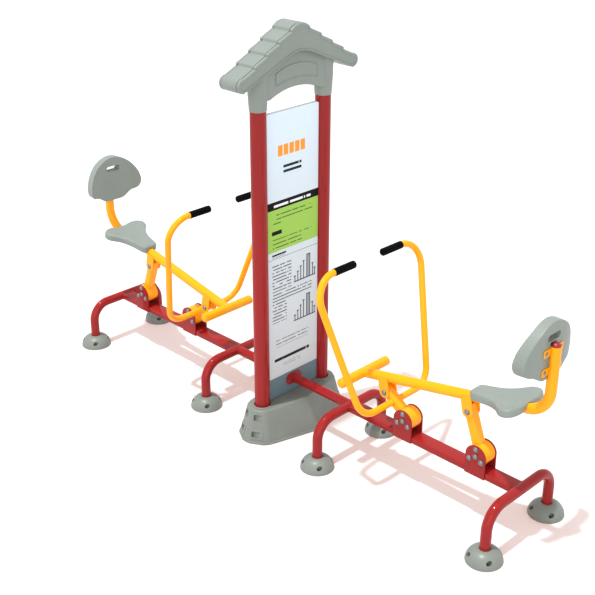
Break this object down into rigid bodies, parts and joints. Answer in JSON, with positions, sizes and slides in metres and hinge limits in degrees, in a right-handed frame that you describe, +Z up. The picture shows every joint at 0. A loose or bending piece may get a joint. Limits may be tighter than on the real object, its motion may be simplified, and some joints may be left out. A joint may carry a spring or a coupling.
{
  "type": "outdoor rowing machine",
  "caption": "Outdoor rowing machine: two seats on four-bar linkages with handlebars, on low tube frames that share a roofed sign between them.",
  "frame": {"origin": "on the ground, below the middle of the sign panel", "axes": "+X along the beams to the right station, +Z up, +Y across the sign panel's face"},
  "size_m": [3.0144, 0.7574, 2.034],
  "materials": {
    "red_paint": "glossy powder coat",
    "yellow_paint": "glossy powder coat",
    "grey_plastic": "fine grained moulding",
    "black_rubber": "matt",
    "pale_panel": "printed satin sheet",
    "steel": "plain zinc"
  },
  "bodies": {
    "frame": {"near_post": "red_paint", "far_post": "red_paint", "sign_panel": "pale_panel", "centre_pipe": "red_paint", "base_skirt": "grey_plastic", "roof_cap": "grey_plastic", "right_inner_leg": "red_paint", "right_outer_leg": "red_paint", "right_beam": "red_paint", "right_inner_foot_1": "grey_plastic", "right_inner_foot_2": "grey_plastic", "right_outer_foot_1": "grey_plastic", "right_outer_foot_2": "grey_plastic", "right_front_axle": "steel", "right_rear_axle": "steel", "right_front_stop_1": "steel", "right_front_stop_2": "steel", "right_front_stop_3": "steel", "right_rear_stop_1": "steel", "right_rear_stop_2": "steel", "right_rear_stop_3": "steel", "left_inner_leg": "red_paint", "left_outer_leg": "red_paint", "left_beam": "red_paint", "left_inner_foot_1": "grey_plastic", "left_inner_foot_2": "grey_plastic", "left_outer_foot_1": "grey_plastic", "left_outer_foot_2": "grey_plastic", "left_front_axle": "steel", "left_rear_axle": "steel", "left_front_stop_1": "steel", "left_front_stop_2": "steel", "left_front_stop_3": "steel", "left_rear_stop_1": "steel", "left_rear_stop_2": "steel", "left_rear_stop_3": "steel"},
    "right_front_rocker": {"right_front_lever": "yellow_paint", "right_handlebar": "yellow_paint", "right_grip_1": "black_rubber", "right_grip_2": "black_rubber"},
    "right_rear_rocker": {"right_rear_lever": "yellow_paint"},
    "right_seat_frame": {"right_seat_tube": "yellow_paint", "right_footrest": "yellow_paint", "right_front_link": "yellow_paint", "right_rear_link": "yellow_paint", "right_tube_plug": "red_paint", "right_saddle": "grey_plastic", "right_backrest": "grey_plastic"},
    "left_front_rocker": {"left_front_lever": "yellow_paint", "left_handlebar": "yellow_paint", "left_grip_1": "black_rubber", "left_grip_2": "black_rubber"},
    "left_rear_rocker": {"left_rear_lever": "yellow_paint"},
    "left_seat_frame": {"left_seat_tube": "yellow_paint", "left_footrest": "yellow_paint", "left_front_link": "yellow_paint", "left_rear_link": "yellow_paint", "left_tube_plug": "red_paint", "left_saddle": "grey_plastic", "left_backrest": "grey_plastic"}
  },
  "joints": [
    {"name": "right_front_lever_swing", "type": "hinge", "parent": "frame", "child": "right_front_rocker", "pos_m": [0.762, 0, 0.328], "axis": [0, 1, 0], "range_deg": [0, 30]},
    {"name": "right_rear_lever_swing", "type": "hinge", "parent": "frame", "child": "right_rear_rocker", "pos_m": [1.175, 0, 0.328], "axis": [0, 1, 0], "range_deg": [0, 20]},
    {"name": "right_seat_link_turn", "type": "hinge", "parent": "right_rear_rocker", "child": "right_seat_frame", "pos_m": [1.1055, 0, 0.518], "axis": [0, 1, 0], "range_deg": [-15.2, 0]},
    {"name": "left_front_lever_swing", "type": "hinge", "parent": "frame", "child": "left_front_rocker", "pos_m": [-0.762, 0, 0.328], "axis": [0, -1, 0], "range_deg": [0, 30]},
    {"name": "left_rear_lever_swing", "type": "hinge", "parent": "frame", "child": "left_rear_rocker", "pos_m": [-1.175, 0, 0.328], "axis": [0, -1, 0], "range_deg": [0, 20]},
    {"name": "left_seat_link_turn", "type": "hinge", "parent": "left_rear_rocker", "child": "left_seat_frame", "pos_m": [-1.1055, 0, 0.518], "axis": [0, -1, 0], "range_deg": [-15.2, 0]}
  ],
  "couplings": [
    {"joint": "right_rear_lever_swing", "follows": "right_front_lever_swing", "ratio": 0.665},
    {"joint": "right_seat_link_turn", "follows": "right_front_lever_swing", "ratio": -0.505},
    {"joint": "left_rear_lever_swing", "follows": "left_front_lever_swing", "ratio": 0.665},
    {"joint": "left_seat_link_turn", "follows": "left_front_lever_swing", "ratio": -0.505}
  ]
}
